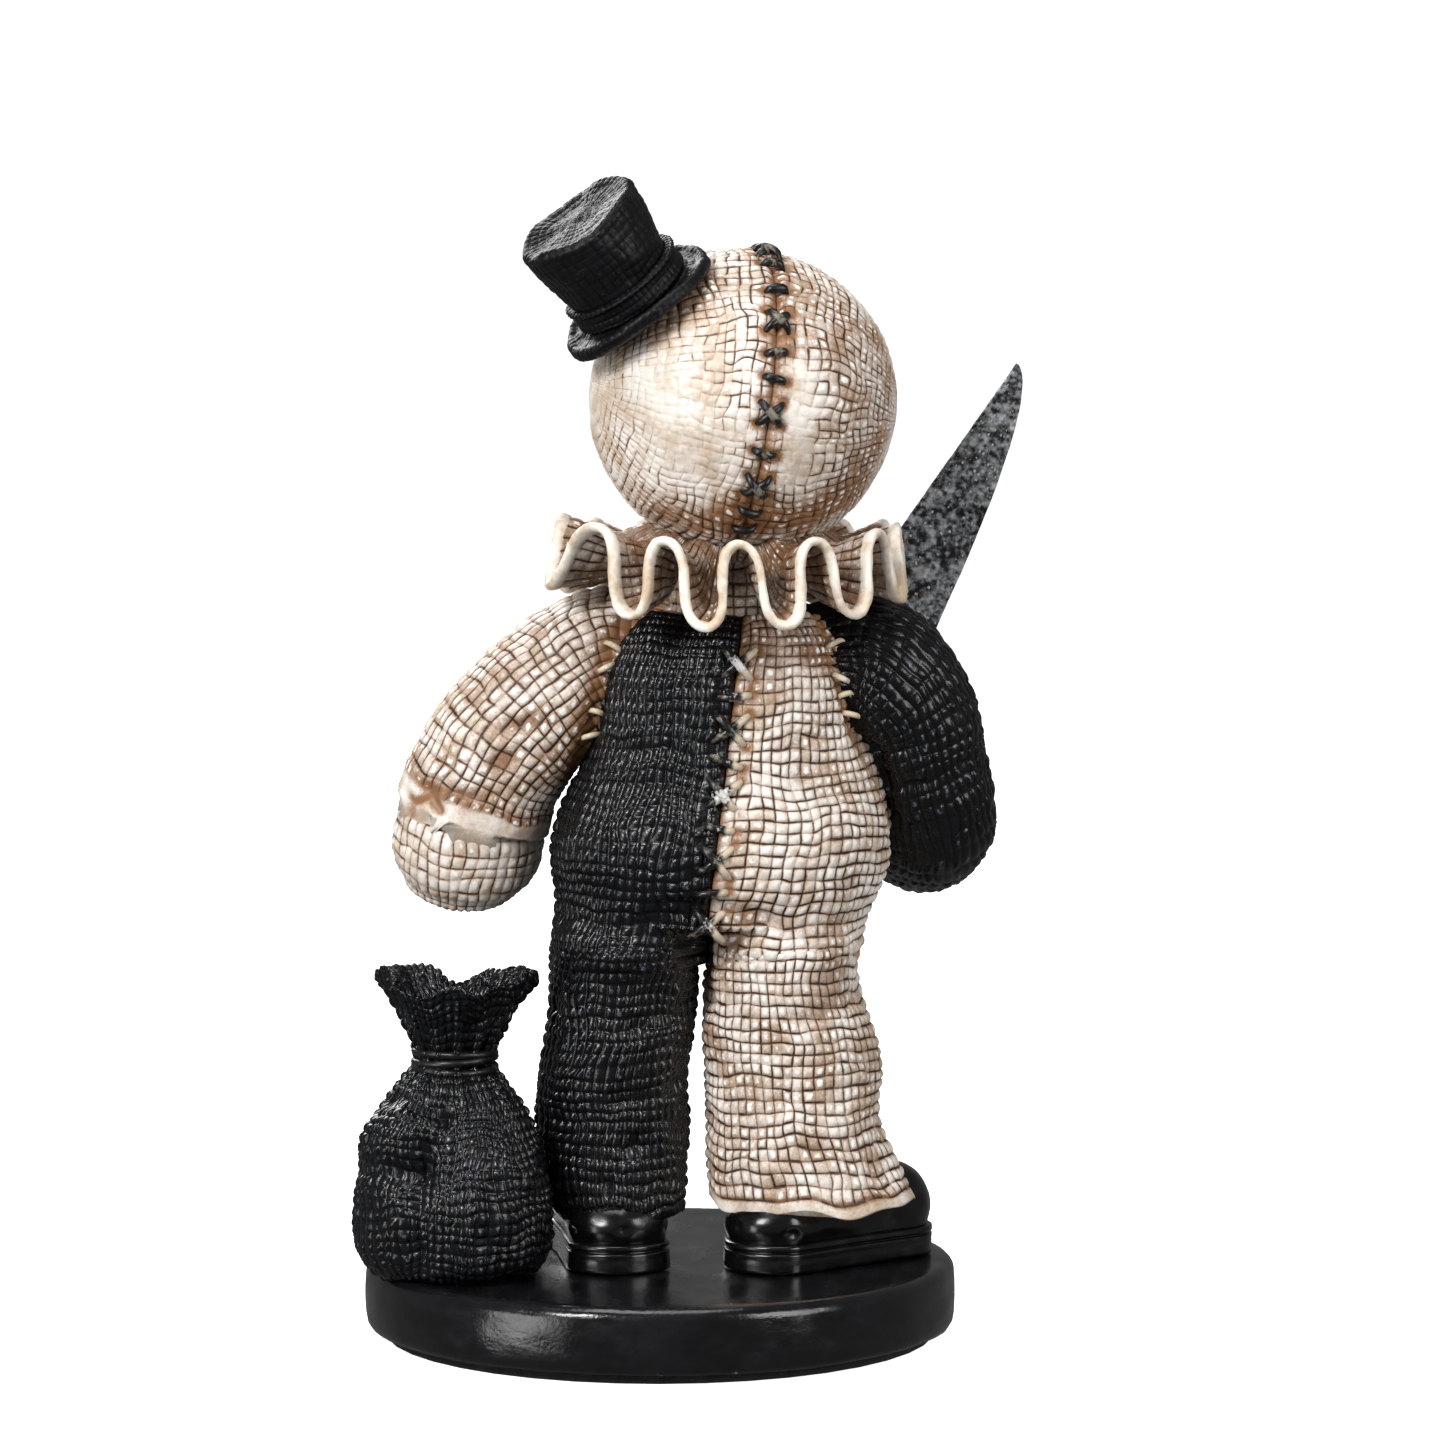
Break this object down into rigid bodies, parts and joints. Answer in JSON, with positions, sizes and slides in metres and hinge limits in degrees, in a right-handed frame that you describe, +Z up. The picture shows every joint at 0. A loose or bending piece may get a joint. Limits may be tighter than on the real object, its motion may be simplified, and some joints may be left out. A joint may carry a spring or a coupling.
{
  "type": "scarecrow figure",
  "caption": "Small round-headed burlap scarecrow clown with a tilted top hat, ruffled collar, two-tone suit, knife and tied sack, standing on a round plinth.",
  "frame": {"origin": "middle of the felt pad's underside, under the round plinth", "axes": "+Z up; the figure faces -Y; +X is the figure's left"},
  "size_m": [0.0914, 0.0804, 0.1576],
  "materials": {
    "plinth_gloss": "gloss",
    "shoe_gloss": "gloss",
    "black_burlap": "satin",
    "white_burlap": "satin",
    "collar_burlap": "satin",
    "hat_black": "satin",
    "blade_paint": "metallic paint",
    "handle_paint": "satin",
    "thread_black": "satin",
    "rod_steel": "bare",
    "felt": "felt"
  },
  "bodies": {
    "root": {"plinth": "plinth_gloss", "felt_pad": "felt", "left_shoe_sole": "shoe_gloss", "left_shoe_upper": "shoe_gloss", "right_shoe_sole": "shoe_gloss", "right_shoe_upper": "shoe_gloss", "left_trouser_leg": "black_burlap", "right_trouser_leg": "white_burlap", "left_torso_panel": "black_burlap", "right_torso_panel": "white_burlap", "left_sleeve": "white_burlap", "right_sleeve": "black_burlap", "left_hand": "white_burlap", "right_hand": "black_burlap", "neck": "collar_burlap", "collar_ruffle": "collar_burlap", "left_head_panel": "white_burlap", "right_head_panel": "white_burlap", "left_eye_button": "shoe_gloss", "right_eye_button": "shoe_gloss", "nose_patch": "black_burlap", "mouth_thread": "thread_black", "head_seam_thread": "thread_black", "back_seam_thread": "thread_black", "front_seam_thread": "thread_black", "hat_crown": "hat_black", "hat_brim": "hat_black", "hat_band": "hat_black", "knife_blade": "blade_paint", "knife_scale_front": "handle_paint", "knife_scale_back": "handle_paint", "knife_rivet_1": "rod_steel", "knife_rivet_2": "rod_steel", "sack_bag": "black_burlap", "sack_tie": "thread_black", "left_leg_rod": "rod_steel", "right_leg_rod": "rod_steel", "neck_rod": "rod_steel", "left_shoulder_peg": "rod_steel", "right_shoulder_peg": "rod_steel", "left_wrist_peg": "rod_steel", "right_wrist_peg": "rod_steel", "sack_peg": "rod_steel", "hat_peg": "rod_steel"}
  },
  "joints": []
}
